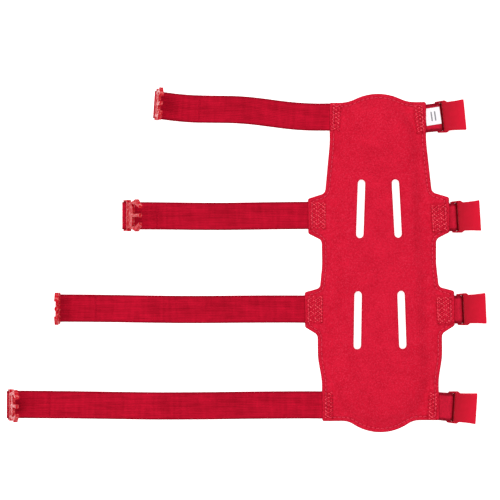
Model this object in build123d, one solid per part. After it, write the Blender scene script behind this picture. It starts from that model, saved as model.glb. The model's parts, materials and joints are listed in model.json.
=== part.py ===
"""Long archery arm guard: a sewn pad with four elastic straps and four buckle pairs.

Millimetres. The guard lies open on its outer face, at z = 0, with its lining up. +Y runs along the pad to
the wrist end, and +X to the side with the buckle receivers. The origin is the centre of the outer face.
"""

from build123d import *

import os
from math import asin, atan2, cos, degrees, radians, sin, sqrt

# ---- pad ----------------------------------------------------------------------------------------
OUTER_CLOTH = 1.1  # thickness of the outer panel
LINING_CLOTH = 0.9  # thickness of the lining panel
CORE_THICK = 3.2  # thickness of the foam core
PEAK_Y = 123.5  # the pad's two tips, from its centre
WRIST_SHOULDER_Y = 117.2
ARM_SHOULDER_Y = -115.0
WRIST_HALF = 35.2  # half widths of the pad
FOREARM_TAB_HALF = 51.5
ELBOW_TAB_HALF = 54.5
ARM_HALF = 42.6
CORE_ENDS = [(89.0, 28.0), (-83.5, 34.0)]  # (y, radius) of the core's two round ends

# right-hand side of the pad from the wrist shoulder to the upper arm shoulder: (x, y, corner radius)
SIDE = [
    (WRIST_HALF, WRIST_SHOULDER_Y, 1.2),
    (WRIST_HALF, 88.0, 90.0),
    (39.0, 51.3, 4.0),
    (FOREARM_TAB_HALF, 47.5, 1.5),
    (FOREARM_TAB_HALF, 21.9, 1.5),
    (41.8, 17.0, 4.0),
    (41.6, -1.0, 60.0),
    (43.4, -17.8, 3.5),
    (ELBOW_TAB_HALF, -20.8, 1.5),
    (ELBOW_TAB_HALF, -46.3, 1.5),
    (45.4, -52.0, 4.0),
    (45.4, -69.0, 50.0),
    (ARM_HALF, -85.0, 50.0),
    (ARM_HALF, ARM_SHOULDER_Y, 1.2),
]
# tip lobes: shoulder height, radius of the tip's arc, half width of that arc
WRIST_LOBE = (WRIST_SHOULDER_Y, 37.7, 16.5)
ARM_LOBE = (ARM_SHOULDER_Y, -36.0, 20.0)

SLOT_WIDTH = 5.5
# vent slots on the right: centre x, centre y, overall length, splay in degrees
SLOTS = [(13.15, 39.6, 42.7, 2.5), (16.1, -41.6, 42.4, 1.4)]

# ---- webbing ------------------------------------------------------------------------------------
WEB_WIDTH = 20.0
ELASTIC = 1.1  # thickness of the elastic straps
WEB = 1.0  # thickness of the loop webbing
WRAP_GAP = 0.08  # between a bar and the webbing wrapped round it
BAR_RADIUS = 1.2
STRAP_EYE = BAR_RADIUS + WRAP_GAP + ELASTIC
LOOP_EYE = BAR_RADIUS + WRAP_GAP + WEB
STRAP_RAMP = 5.5  # length over which a strap rises onto its clip's bar
BEYOND = 500.0  # longer than any strap, for cutting one off at the pad's rim

# straps: name, edge x, edge y, clip bar x, clip bar y, clip angle, fold length, sewn-in length
STRAPS = [
    ("wrist", -WRIST_HALF, 106.8, -160.8, 116.9, 101.0, 34.0, 7.5),
    ("forearm", -FOREARM_TAB_HALF, 35.2, -184.7, 36.3, 126.0, 26.0, 12.5),
    ("elbow", -ELBOW_TAB_HALF, -33.1, -234.1, -30.6, 91.0, 30.0, 12.5),
    ("upper_arm", -ARM_HALF, -103.1, -270.2, -100.5, 112.0, 32.0, 7.5),
]
# loops: name, edge x, edge y, distance of the receiver's bar from the edge, turn in plan, sewn-in length
LOOPS = [
    ("wrist", WRIST_HALF, 105.0, 8.6, 5.2, 7.5),
    ("forearm", FOREARM_TAB_HALF, 32.8, 2.6, 3.0, 12.5),
    ("elbow", ELBOW_TAB_HALF, -34.5, 3.1, 2.0, 12.5),
    ("upper_arm", ARM_HALF, -104.8, 7.4, -4.1, 7.5),
]

# ---- stitching and label ------------------------------------------------------------------------
THREAD = 0.5
THREAD_LIFT = 0.25  # how far a thread stands above the cloth
SEAM_INSET = 2.6  # of the rim's stitching
TACK_HEIGHT = 13.0
TACK_STEPS = 9
LABEL = (10.0, 12.4, 0.25)  # length away from the pad, height along it, thickness

# ---- buckles ------------------------------------------------------------------------------------
CHEEK_INSIDE = 10.3  # half width between the cheeks that hold a bar
CHEEK_OUTSIDE = 11.4
RECEIVER_HALF_THICK = 1.1 + LOOP_EYE  # the loop's lower layer leaves the pad level with the bar's eye
BODY_START = 3.5  # receiver's body, from its bar
MOUTH_AT = BODY_START + 16.0
EAR_HALF, WAIST_HALF, MOUTH_HALF = 11.75, 10.4, 11.25  # half widths along the receiver's body
CAVITY_HALF = 2.18
LIP_START, LIP_TOP = 2.45, -2.3  # the receiver's lower lip, under the gap behind its body
PRONG_REACH = 20.4  # male clip's tips, from its bar
CROSS_START, CROSS_END = 3.2, 5.8  # male clip's crosspiece, from its bar
CROSS_HALF_THICK = 1.7

FLANGE_TOP = OUTER_CLOTH + LINING_CLOTH
CORE_TOP = OUTER_CLOTH + CORE_THICK
STRAP_TOP = OUTER_CLOTH + ELASTIC
LOOP_TOP = OUTER_CLOTH + 2 * WEB
STRAP_BUMP = STRAP_TOP + LINING_CLOTH
LOOP_BUMP = LOOP_TOP + LINING_CLOTH

os.makedirs("parts", exist_ok=True)


def save(shape, name):
    export_step(shape, f"parts/{name}.step")


def slab(face, low, high):
    """The face drawn on the XY plane, raised from one height to another."""
    return Pos(0, 0, low) * extrude(face, amount=high - low)


# ---- pad ----------------------------------------------------------------------------------------
def lobe(shoulder_y, radius, reach):
    """One rounded tip: an arc over the middle, and an arc each side that runs flat into the shoulder."""
    sign = 1 if radius > 0 else -1
    tip = sign * PEAK_Y
    turn = asin(reach / abs(radius))
    join_y = tip - sign * abs(radius) * (1 - cos(turn))
    foot_radius = abs(join_y - shoulder_y) / (1 - cos(turn))
    foot_x = reach + foot_radius * sin(turn)
    crown = ThreePointArc((-reach, join_y), (0, tip), (reach, join_y))
    middle = (reach + foot_radius * (sin(turn) - sin(turn / 2)), 0)
    middle = (middle[0], shoulder_y + sign * foot_radius * (1 - cos(turn / 2)))
    right = ThreePointArc((reach, join_y), middle, (foot_x, shoulder_y))
    left = ThreePointArc((-reach, join_y), (-middle[0], middle[1]), (-foot_x, shoulder_y))
    return [crown, right, left], foot_x


def pad_outline():
    top, top_foot = lobe(*WRIST_LOBE)
    bottom, bottom_foot = lobe(*ARM_LOBE)
    corners = [(top_foot, WRIST_SHOULDER_Y)] + [(x, y) for x, y, _ in SIDE] + [(bottom_foot, ARM_SHOULDER_Y)]
    side = FilletPolyline(*corners, radius=[r for _, _, r in SIDE])
    other = mirror(side, about=Plane.YZ)
    edges = [e for part in (*top, *bottom, side, other) for e in part.edges()]
    return make_face(Wire(edges))


def slot_faces():
    faces = []
    for x, y, length, splay in SLOTS:
        slot = SlotOverall(length, SLOT_WIDTH, rotation=90)
        faces.append(Pos(x, y) * Rot(Z=splay) * slot)
        faces.append(Pos(-x, y) * Rot(Z=-splay) * slot)
    return faces


def core_face(grow):
    rounds = [Pos(0, y) * Circle(radius + grow) for y, radius in CORE_ENDS]
    return make_hull(rounds[0].edges() + rounds[1].edges())


def band(edge_x, edge_y, turn, start, end, half=WEB_WIDTH / 2):
    """A strip across the pad's rim: from start to end along a direction turned by so many degrees."""
    strip = Pos((start + end) / 2, 0) * Rectangle(end - start, 2 * half)
    return Pos(edge_x, edge_y) * Rot(Z=turn) * strip


def strap_turn(strap):
    _, edge_x, edge_y, bar_x, bar_y, *_ = strap
    return degrees(atan2(edge_y - bar_y, edge_x - bar_x))


def anchors():
    """Every sewn-in end: name, kind, its strip in plan, its top, and the lining's top over it."""
    found = []
    for strap in STRAPS:
        name, edge_x, edge_y, *_, sewn = strap
        turn = strap_turn(strap)
        strip = band(edge_x, edge_y, turn, 0, sewn) & outline
        cover = band(edge_x, edge_y, turn, -3, sewn + LINING_CLOTH, WEB_WIDTH / 2 + LINING_CLOTH) & outline
        found.append((name, "strap", strip, STRAP_TOP, cover, STRAP_BUMP))
    for name, edge_x, edge_y, _, turn, sewn in LOOPS:
        strip = band(edge_x, edge_y, turn, -sewn, 0) & outline
        cover = band(edge_x, edge_y, turn, -sewn - LINING_CLOTH, 3, WEB_WIDTH / 2 + LINING_CLOTH) & outline
        found.append((name, "loop", strip, LOOP_TOP, cover, LOOP_BUMP))
    return found


outline = pad_outline()
slots = Sketch() + slot_faces()
panel = outline - slots
core = core_face(0) - slots
anchor_list = anchors()

save(slab(panel, 0, OUTER_CLOTH), "outer_face")
foam_core = slab(core, OUTER_CLOTH, CORE_TOP)
save(foam_core, "foam_core")

lining = slab(panel, OUTER_CLOTH, FLANGE_TOP)
lining += slab(core_face(LINING_CLOTH) - slots, OUTER_CLOTH, CORE_TOP + LINING_CLOTH)
lining -= foam_core
for _, _, _, _, cover, bump in anchor_list:
    lining += slab(cover, OUTER_CLOTH, bump)
for name, kind, strip, top, _, _ in anchor_list:
    root = slab(strip, OUTER_CLOTH, top)
    lining -= root
    save(root, f"{name}_{kind}_root")
save(lining, "lining")

seam = offset(outline, -SEAM_INSET) - offset(outline, -SEAM_INSET - THREAD)
rim_thread = slab(seam, FLANGE_TOP, FLANGE_TOP + THREAD_LIFT)
for _, _, _, _, cover, bump in anchor_list:
    rim_thread -= slab(cover, 0, bump)
    rim_thread += slab(seam & cover, bump, bump + THREAD_LIFT)
save(rim_thread, "edge_stitching")


# ---- zigzag tacks -------------------------------------------------------------------------------
def zigzag(x, width):
    """A zigzag row of stitches along Y, as one thin ribbon."""
    step = TACK_HEIGHT / TACK_STEPS
    sway = [width / 2 * (-1) ** i for i in range(TACK_STEPS + 1)]
    left = [(x + s, -TACK_HEIGHT / 2 + i * step) for i, s in enumerate(sway)]
    right = [(px + THREAD, py) for px, py in reversed(left)]
    return make_face(Polyline(*left, *right, close=True))


def tack(edge_x, edge_y, turn, inward, sewn, top):
    """Two zigzag rows over the sewn-in webbing, clear of the rim's own stitching."""
    rows = [SEAM_INSET + THREAD + 1.6, sewn - 1.4]
    frame = Pos(edge_x, edge_y) * Rot(Z=turn)
    faces = [frame * zigzag(inward * row - THREAD / 2, 1.2) for row in rows]
    solid = slab(faces[0], top, top + THREAD_LIFT)
    return solid + slab(faces[1], top, top + THREAD_LIFT)


for strap in STRAPS:
    name, edge_x, edge_y, *_, sewn = strap
    save(tack(edge_x, edge_y, strap_turn(strap), 1, sewn, STRAP_BUMP), f"{name}_strap_tack")
for name, edge_x, edge_y, _, turn, sewn in LOOPS:
    save(tack(edge_x, edge_y, turn, -1, sewn, LOOP_BUMP), f"{name}_loop_tack")


# ---- straps -------------------------------------------------------------------------------------
def strap_solid(strap):
    """One elastic: flat from the pad's rim, up over its clip's bar and back underneath as a sewn fold."""
    _, edge_x, edge_y, bar_x, bar_y, _, fold, _ = strap
    length = sqrt((edge_x - bar_x) ** 2 + (edge_y - bar_y) ** 2)
    inner = STRAP_EYE - ELASTIC
    low, high = STRAP_EYE - inner, STRAP_EYE + inner
    section = Pos(0, STRAP_EYE) * Circle(STRAP_EYE)
    ramp = [(0, 0), (STRAP_RAMP, 0), (STRAP_RAMP, STRAP_TOP), (0, 2 * STRAP_EYE)]
    section += make_face(Polyline(*ramp, close=True))
    section += Pos((STRAP_RAMP + length + 4) / 2, STRAP_TOP - ELASTIC / 2) * Rectangle(
        length + 4 - STRAP_RAMP, ELASTIC
    )
    section += Pos((STRAP_RAMP + fold) / 2, ELASTIC / 2) * Rectangle(fold - STRAP_RAMP, ELASTIC)
    section -= Pos(0, STRAP_EYE) * Circle(inner)
    wedge = [(0, low), (STRAP_RAMP - 2, ELASTIC), (0, high)]
    section -= make_face(Polyline(*wedge, close=True))
    flat = Plane.XZ * section
    solid = Pos(0, WEB_WIDTH / 2, 0) * extrude(flat, amount=WEB_WIDTH)
    solid = Pos(bar_x, bar_y, 0) * Rot(Z=strap_turn(strap)) * solid
    return solid & Pos(edge_x - BEYOND / 2, edge_y, 0) * Box(BEYOND, 80, 20)


def fold_bartack(strap):
    """The bar of stitches that closes the fold, standing on the strap's upper face."""
    _, _, _, bar_x, bar_y, _, fold, _ = strap
    bar = Pos(fold - 3, 0, STRAP_TOP + THREAD_LIFT / 2) * Box(2 * THREAD, WEB_WIDTH - 3, THREAD_LIFT)
    return Pos(bar_x, bar_y, 0) * Rot(Z=strap_turn(strap)) * bar


# ---- male clips ---------------------------------------------------------------------------------
def rounded_block(low, high, half_width, half_thick, corner):
    """A bar across the clip, from low to high along it, with rounded edges."""
    section = RectangleRounded(high - low, 2 * half_thick, corner)
    face = Plane.XZ * (Pos((low + high) / 2, 0) * section)
    return Pos(0, half_width, 0) * extrude(face, amount=2 * half_width)


def clip_arm():
    """A springy side arm: it bows out to the barb and tapers in to the tip."""
    outer = Spline((5.4, 8.9), (11.0, 10.1), (15.3, 11.8))
    barb = Polyline((15.3, 11.8), (16.3, 11.5), (PRONG_REACH, 7.0), (PRONG_REACH, 5.2), (16.8, 7.2))
    inner = Spline((16.8, 7.2), (11.5, 8.1), (5.4, 6.6))
    close = Line((5.4, 6.6), (5.4, 8.9))
    edges = [e for part in (outer, barb, inner, close) for e in part.edges()]
    return slab(make_face(Wire(edges)), -1.5, 1.5)


def clip_solid():
    """A male side-release clip along +X from its bar, which lies on the Y axis."""
    bar = Rot(X=90) * Cylinder(BAR_RADIUS, 2 * CHEEK_INSIDE + 1)
    clip = bar + rounded_block(CROSS_START, CROSS_END, CHEEK_OUTSIDE, CROSS_HALF_THICK, 0.8)
    cheek = Pos(2.2, 0, 0) * Box(4.4, CHEEK_OUTSIDE - CHEEK_INSIDE, 3.0)
    cheek += Rot(X=90) * Cylinder(1.5, CHEEK_OUTSIDE - CHEEK_INSIDE)
    middle = (CHEEK_OUTSIDE + CHEEK_INSIDE) / 2
    arm = clip_arm()
    for side in (1, -1):
        clip += Pos(0, side * middle, 0) * cheek
        clip += arm if side > 0 else mirror(arm, about=Plane.XZ)
    clip += Pos(7.4, 0, 0) * Box(4.0, 17.2, 1.8)
    prong = [(5.4, -2.0), (13.5, -1.1), (19.2, -1.1), (PRONG_REACH, -1.5)]
    prong += [(x, -y) for x, y in reversed(prong)]
    return clip + slab(make_face(Polyline(*prong, close=True)), -1.2, 1.2)


# ---- loops and receivers ------------------------------------------------------------------------
def loop_solid(loop):
    """Webbing from the pad's rim round the receiver's bar and back: two layers that open into an eye."""
    _, edge_x, edge_y, reach, turn, _ = loop
    inner = LOOP_EYE - WEB
    centre = RECEIVER_HALF_THICK
    section = Pos(0, centre) * Circle(LOOP_EYE)
    section += make_face(
        Polyline((0, OUTER_CLOTH), (0, centre + LOOP_EYE), (-reach, LOOP_TOP), (-reach - 3, LOOP_TOP),
                 (-reach - 3, OUTER_CLOTH), close=True)
    )
    section -= Pos(0, centre) * Circle(inner)
    flat = Plane.XZ * section
    solid = Pos(0, WEB_WIDTH / 2, 0) * extrude(flat, amount=WEB_WIDTH)
    solid = Pos(*bar_place(loop)) * Rot(Z=turn) * solid
    return solid & Pos(edge_x + BEYOND / 2, edge_y, 0) * Box(BEYOND, 80, 20)


def bar_place(loop):
    _, edge_x, edge_y, reach, turn, _ = loop
    return edge_x + reach, edge_y + reach * sin(radians(turn)), 0


def receiver_plan():
    """The receiver seen flat: web cheeks, ears, waist, and sides that flare to the mouth."""
    back = -1.6
    ear = [(back, CHEEK_OUTSIDE - 0.1), (2.2, 11.6), (5.8, EAR_HALF), (7.2, WAIST_HALF + 0.05)]
    waist = (8.0, WAIST_HALF)
    upper = FilletPolyline((back, 0), *ear, waist, radius=[0.9, 6.0, 0.8, 0.5])
    flare = ThreePointArc(waist, (13.0, WAIST_HALF + 0.2), (MOUTH_AT, MOUTH_HALF))
    mouth = Line((MOUTH_AT, MOUTH_HALF), (MOUTH_AT, 0))
    edges = [e for part in (upper, flare, mouth) for e in part.edges()]
    other = [e for part in (upper, flare, mouth) for e in mirror(part, about=Plane.XZ).edges()]
    return make_face(Wire(edges + other))


def receiver_solid():
    """A female side-release receiver along +X from its bar, which lies on the Y axis."""
    half = RECEIVER_HALF_THICK
    plan = slab(receiver_plan(), -half, half)
    loaf = extrude(Plane.YZ * RectangleRounded(24.0, 2 * half, 2.3), amount=30)
    loaf = Pos(-5, 0, 0) * loaf
    side = [(-2, -1.6), (BODY_START - 0.2, -1.6), (BODY_START, -half + 0.9), (BODY_START + 1.1, -half)]
    side += [(MOUTH_AT, -half), (MOUTH_AT, half)] + [(x, -z) for x, z in reversed(side[:4])]
    profile = Plane.XZ * make_face(Polyline(*side, close=True))
    body = plan & loaf & Pos(0, 15, 0) * extrude(profile, amount=30)
    body -= Pos((BODY_START - 5) / 2, 0, 0) * Box(BODY_START + 5, 2 * CHEEK_INSIDE, 20)
    cavity_start = BODY_START + 1.6
    cavity = Plane.YZ * RectangleRounded(19.2, 2 * CAVITY_HALF, 0.8)
    body -= Pos(cavity_start, 0, 0) * extrude(cavity, amount=20)
    for sign in (1, -1):
        body -= Pos(BODY_START + 8.0, sign * 11, 0) * Box(7.4, 4.4, 2 * CAVITY_HALF - 0.8)
    lip = Pos((LIP_START + BODY_START + 1) / 2, 0, (LIP_TOP - half) / 2)
    body += lip * Box(BODY_START + 1 - LIP_START, 2 * CHEEK_INSIDE + 1, half + LIP_TOP)
    cheek_end = Rot(X=90) * Cylinder(1.6, 40)
    keep = Pos(12, 0, 0) * Box(24, 40, 20) + cheek_end
    return (body & keep) + Rot(X=90) * Cylinder(BAR_RADIUS, 2 * CHEEK_INSIDE + 1)


def label_solid(loop):
    """The care label: a folded satin tab that lies up the slope of the loop and over its eye."""
    reach = loop[3]
    length, height, thick = LABEL
    lift = 0.1
    top = RECEIVER_HALF_THICK + LOOP_EYE
    slope = (top - LOOP_TOP) / reach
    start = -reach + 0.5
    knee = -0.4
    lower = [(start, LOOP_TOP + slope * 0.5 + lift), (knee, top + lift), (start + length, top + lift)]
    upper = [(x, z + thick) for x, z in reversed(lower)]
    face = Plane.XZ * make_face(Polyline(*lower, *upper, close=True))
    solid = Pos(0, height / 2, 0) * extrude(face, amount=height)
    return Pos(*bar_place(loop)) * Rot(Z=loop[4]) * solid


clip = clip_solid()
for strap in STRAPS:
    name, _, _, bar_x, bar_y, lean, _, _ = strap
    save(strap_solid(strap), f"{name}_strap")
    save(fold_bartack(strap), f"{name}_strap_bartack")
    outward = Rot(Y=lean) * Rot(Z=180) * clip
    save(Pos(bar_x, bar_y, STRAP_EYE) * Rot(Z=strap_turn(strap)) * outward, f"{name}_clip")

receiver = receiver_solid()
for loop in LOOPS:
    save(loop_solid(loop), f"{loop[0]}_loop")
    place = Pos(*bar_place(loop)) * Pos(0, 0, RECEIVER_HALF_THICK) * Rot(Z=loop[4])
    save(place * receiver, f"{loop[0]}_receiver")
save(label_solid(LOOPS[0]), "care_label")
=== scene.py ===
"""Long archery arm guard: its padded lining, elastic straps, web loops and buckles, and the stage.

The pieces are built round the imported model, in its frame, in metres. Sizes inside the functions are in
millimetres, and become metres where a piece's mesh is made.
"""

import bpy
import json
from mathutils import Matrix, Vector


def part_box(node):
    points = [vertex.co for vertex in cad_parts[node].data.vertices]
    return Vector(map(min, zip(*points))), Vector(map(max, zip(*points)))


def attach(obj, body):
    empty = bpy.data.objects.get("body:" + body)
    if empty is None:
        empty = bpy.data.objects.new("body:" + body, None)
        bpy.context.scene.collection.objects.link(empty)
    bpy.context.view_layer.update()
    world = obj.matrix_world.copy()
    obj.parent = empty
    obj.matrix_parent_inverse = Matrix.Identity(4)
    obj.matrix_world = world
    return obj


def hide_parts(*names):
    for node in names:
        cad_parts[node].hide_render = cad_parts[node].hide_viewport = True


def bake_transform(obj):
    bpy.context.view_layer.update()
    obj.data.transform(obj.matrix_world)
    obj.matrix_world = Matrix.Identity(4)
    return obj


bl_info = {
    "name": "Archery arm guard",
    "version": (1, 0, 0),
    "blender": (4, 5, 0),
    "location": "3D View > Sidebar > Arm guard",
    "description": "Builds a long arm guard with elastic straps and side-release buckles",
    "category": "Add Mesh",
}

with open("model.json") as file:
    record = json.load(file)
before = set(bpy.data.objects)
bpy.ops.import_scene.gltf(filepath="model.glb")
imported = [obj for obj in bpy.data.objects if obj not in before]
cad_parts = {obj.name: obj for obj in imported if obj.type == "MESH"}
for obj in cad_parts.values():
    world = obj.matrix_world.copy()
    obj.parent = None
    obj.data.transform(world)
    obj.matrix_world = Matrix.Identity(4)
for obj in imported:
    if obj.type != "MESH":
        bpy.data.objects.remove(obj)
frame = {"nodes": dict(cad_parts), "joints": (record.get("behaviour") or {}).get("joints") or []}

import json
import math

import bmesh
import bpy
import numpy as np
from bpy.props import FloatProperty, FloatVectorProperty, IntProperty, PointerProperty
from mathutils import Matrix, Vector
from mathutils.geometry import delaunay_2d_cdt
from mathutils.noise import noise

MM = 0.001
ANCHORS = ("wrist", "forearm", "elbow", "upper_arm")
JOINTS = {joint["name"]: joint for joint in frame["joints"]}

# heights of the pad's layers, in mm
OUTER_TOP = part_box("outer_face")[1].z / MM
LINING = 0.9  # thickness of the lining
FLANGE_TOP = OUTER_TOP + LINING
CORE_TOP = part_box("foam_core")[1].z / MM + LINING
STRAP_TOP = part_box("wrist_strap_root")[1].z / MM
LOOP_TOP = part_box("wrist_loop_root")[1].z / MM
ELASTIC = STRAP_TOP - OUTER_TOP
WEB = (LOOP_TOP - OUTER_TOP) / 2
BAR_RADIUS = 1.28  # of the round bars, with the gap to the webbing
SEAM = 2.85  # rim to the middle of the rim's stitching
PITCH = 3.3  # of the rim's stitches
OUTER_STITCH = 0.34  # height of the rim's stitches on the outer face
RIM_RINGS = (0.25, 0.6, 1.05, 1.6, 2.15, 2.5, 2.85, 3.2, 3.6, 4.3)  # rings of mesh points inside the rim
SLOT_RINGS = (0.2, 0.5, 0.95, 1.6)  # and round each slot
KEPT_FACES = 0.4  # share of a moulding's faces kept after its skin is made
ENDS = [(anchor, kind) for kind in ("strap", "loop") for anchor in ANCHORS]


def linear(code):
    """An sRGB hex colour as the linear colour that Blender's nodes take."""
    parts = [int(code[i:i + 2], 16) / 255 for i in (1, 3, 5)]
    return *(c / 12.92 if c <= 0.04045 else ((c + 0.055) / 1.055) ** 2.4 for c in parts), 1.0


def smooth(t):
    """0 below 0, 1 above 1, and an even S between them."""
    t = np.clip(t, 0, 1)
    return t * t * (3 - 2 * t)


# ---- what the frame says ------------------------------------------------------------------------
def loops_of(node, height):
    """The closed outlines of a node's flat underside, longest first, as arrays of points in mm."""
    mesh = bmesh.new()
    mesh.from_mesh(frame["nodes"][node].data)
    bmesh.ops.remove_doubles(mesh, verts=mesh.verts, dist=1e-6)
    under = {f for f in mesh.faces if all(abs(v.co.z / MM - height) < 0.01 for v in f.verts)}
    rim = [e for e in mesh.edges if sum(f in under for f in e.link_faces) == 1]
    after = {}
    for edge in rim:
        a, b = edge.verts
        after.setdefault(a, []).append(b)
        after.setdefault(b, []).append(a)
    found = []
    while after:
        start = next(iter(after))
        chain, here, last = [start], after[start][0], start
        while here is not start:
            chain.append(here)
            ways = after[here]
            here, last = (ways[0] if ways[0] is not last else ways[1]), here
        for vert in chain:
            del after[vert]
        found.append(np.array([(v.co.x / MM, v.co.y / MM) for v in chain]))
    mesh.free()
    found = [loop if signed_area(loop) > 0 else loop[::-1] for loop in found]
    return sorted(found, key=lambda loop: -abs(signed_area(loop)))


def signed_area(loop):
    x, y = loop.T
    return (x * np.roll(y, -1) - np.roll(x, -1) * y).sum() / 2


def respace(loop, step):
    """A closed loop again, with its points evenly spaced by about a step."""
    closed = np.vstack([loop, loop[:1]])
    lengths = np.hypot(*np.diff(closed, axis=0).T)
    along = np.concatenate([[0], np.cumsum(lengths)])
    count = max(8, round(along[-1] / step))
    places = np.arange(count) * along[-1] / count
    return np.stack([np.interp(places, along, closed[:, k]) for k in (0, 1)], axis=1)


def nearest(points, loop):
    """Each point's distance from a closed loop, and how far along the loop its nearest place is."""
    run = np.roll(loop, -1, 0) - loop
    square = np.maximum((run ** 2).sum(1), 1e-9)
    before = np.concatenate([[0], np.cumsum(np.sqrt(square))[:-1]])
    gap, along = np.empty(len(points)), np.empty(len(points))
    for i in range(0, len(points), 1500):
        offset = points[i:i + 1500, None] - loop[None]
        t = np.clip((offset * run).sum(2) / square, 0, 1)
        far = ((offset - t[..., None] * run) ** 2).sum(2)
        best = far.argmin(1)
        rows = np.arange(len(best))
        gap[i:i + 1500] = np.sqrt(far[rows, best])
        along[i:i + 1500] = before[best] + t[rows, best] * np.sqrt(square[best])
    return gap, along


def inside(points, loop):
    """Whether each point lies inside a closed loop."""
    x, y = loop.T
    x2, y2 = np.roll(loop, -1, 0).T
    result = np.zeros(len(points), bool)
    for i in range(0, len(points), 1500):
        px, py = points[i:i + 1500, None, 0], points[i:i + 1500, None, 1]
        spans = (y > py) != (y2 > py)
        cross = x + (py - y) * (x2 - x) / np.where(y2 == y, 1e-9, y2 - y)
        result[i:i + 1500] = (spans & (px < cross)).sum(1) % 2 == 1
    return result


RIM, *SLOTS = [respace(loop, 0.9) for loop in loops_of("outer_face", 0.0)]
CORE = respace(loops_of("foam_core", OUTER_TOP)[0], 1.2)


def anchor_frame(anchor, kind):
    """The frame of a strap or loop: its origin under its bar, and +X along it, in mm.

    A strap's +X runs from its clip back to the pad. A loop's runs from the pad out to its receiver.
    """
    joint = JOINTS[f"{anchor}_clip_swivel" if kind == "strap" else f"{anchor}_receiver_swivel"]
    turn = 1 if kind == "strap" else -1
    across = Vector(joint["axis"]) * turn
    along = across.cross(Vector((0, 0, 1)))
    place = Matrix.Identity(4)
    for row in range(3):
        place[row][0], place[row][1] = along[row], across[row]
    place.translation = Vector((joint["pos_m"][0], joint["pos_m"][1], 0)) / MM
    return place


def rim_reach(anchor, kind):
    """Distance from the pad's rim to the bar of a strap or loop, in mm."""
    rim = Vector(JOINTS[f"{anchor}_{kind}_fold"]["pos_m"]) / MM
    return abs((anchor_frame(anchor, kind).inverted() @ rim).x)


def sewn_length(anchor, kind):
    low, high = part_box(f"{anchor}_{kind}_root")
    return (high.x - low.x) / MM - 0.4


def anchor_places(points):
    """For each strap and loop: how deep inside the rim each point lies along it, and how far across."""
    flat = np.column_stack([points, np.zeros(len(points)), np.ones(len(points))])
    for anchor, kind in ENDS:
        local = flat @ np.array(anchor_frame(anchor, kind).inverted()).T
        reach = rim_reach(anchor, kind)
        depth = local[:, 0] - reach if kind == "strap" else -local[:, 0] - reach
        yield anchor, kind, depth, local[:, 1]


# ---- meshes -------------------------------------------------------------------------------------
def placed(name, data):
    """A new object in the scene, with a mesh, lamp or camera."""
    thing = bpy.data.objects.new(name, data)
    bpy.context.scene.collection.objects.link(thing)
    return thing


def piece(name, points, faces, material, sharp=50):
    """A mesh object from points in mm, smooth where its faces meet at less than so many degrees."""
    mesh = bpy.data.meshes.new(name)
    mesh.from_pydata([tuple(p) for p in np.asarray(points) * MM], [], faces)
    build = bmesh.new()
    build.from_mesh(mesh)
    bmesh.ops.recalc_face_normals(build, faces=build.faces)
    build.to_mesh(mesh)
    build.free()
    mesh.shade_smooth()
    mesh.set_sharp_from_angle(angle=math.radians(sharp))
    mesh.materials.append(material)
    return placed(name, mesh)


def declare(thing, slot, body, *nodes):
    """Says which body a piece rides on and which of the model's nodes it stands for; its slot is not used."""
    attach(thing, body)
    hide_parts(*nodes)


def store_weave(thing, values):
    """Keeps each point's place in the cloth, in mm along and across it, for the weave to follow."""
    layer = thing.data.attributes.new("weave", "FLOAT_VECTOR", "POINT")
    layer.data.foreach_set("vector", np.asarray(values, np.float32).ravel())


def solidified(name, mesh, voxel, rounds, ratio):
    """One closed, softly rounded skin round the overlapping solids of a mesh, as moulding leaves it."""
    rough = placed(name, mesh)
    remesh = rough.modifiers.new("skin", "REMESH")
    remesh.mode = "VOXEL"
    remesh.voxel_size = voxel * MM
    relax = rough.modifiers.new("rounding", "SMOOTH")
    relax.factor = 0.5
    relax.iterations = rounds
    thin = rough.modifiers.new("thinning", "DECIMATE")
    thin.ratio = ratio
    evaluated = rough.evaluated_get(bpy.context.evaluated_depsgraph_get())
    skin = bpy.data.meshes.new_from_object(evaluated)
    bpy.data.objects.remove(rough)
    skin.shade_smooth()
    return skin


def stitches(name, runs, thread, material):
    """Separate stitches, each from one hole to the next, arched over the cloth in its own direction."""
    sides = 8
    steps = [(0.0, -0.5, 0.55), (0.1, 0.15, 0.95), (0.32, 0.5, 1.05), (0.68, 0.5, 1.05), (0.9, 0.15, 0.95),
             (1.0, -0.5, 0.55)]
    points, faces = [], []
    for a, b, up in runs:
        a, b, up = Vector(a), Vector(b), Vector(up)
        side = (b - a).normalized().cross(up)
        first = len(points)
        for t, rise, swell in steps:
            middle = a.lerp(b, t) + up * rise * thread
            for k in range(sides):
                turn = 2 * math.pi * k / sides
                spoke = side * math.cos(turn) + up * math.sin(turn) * 0.8
                points.append(middle + spoke * swell * thread / 2)
        for ring in range(len(steps) - 1):
            low = first + ring * sides
            for k in range(sides):
                n = (k + 1) % sides
                faces.append((low + k, low + n, low + sides + n, low + sides + k))
        faces.append(tuple(range(first, first + sides)))
        faces.append(tuple(range(len(points) - sides, len(points))))
    return piece(name, points, faces, material, sharp=80)


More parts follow.
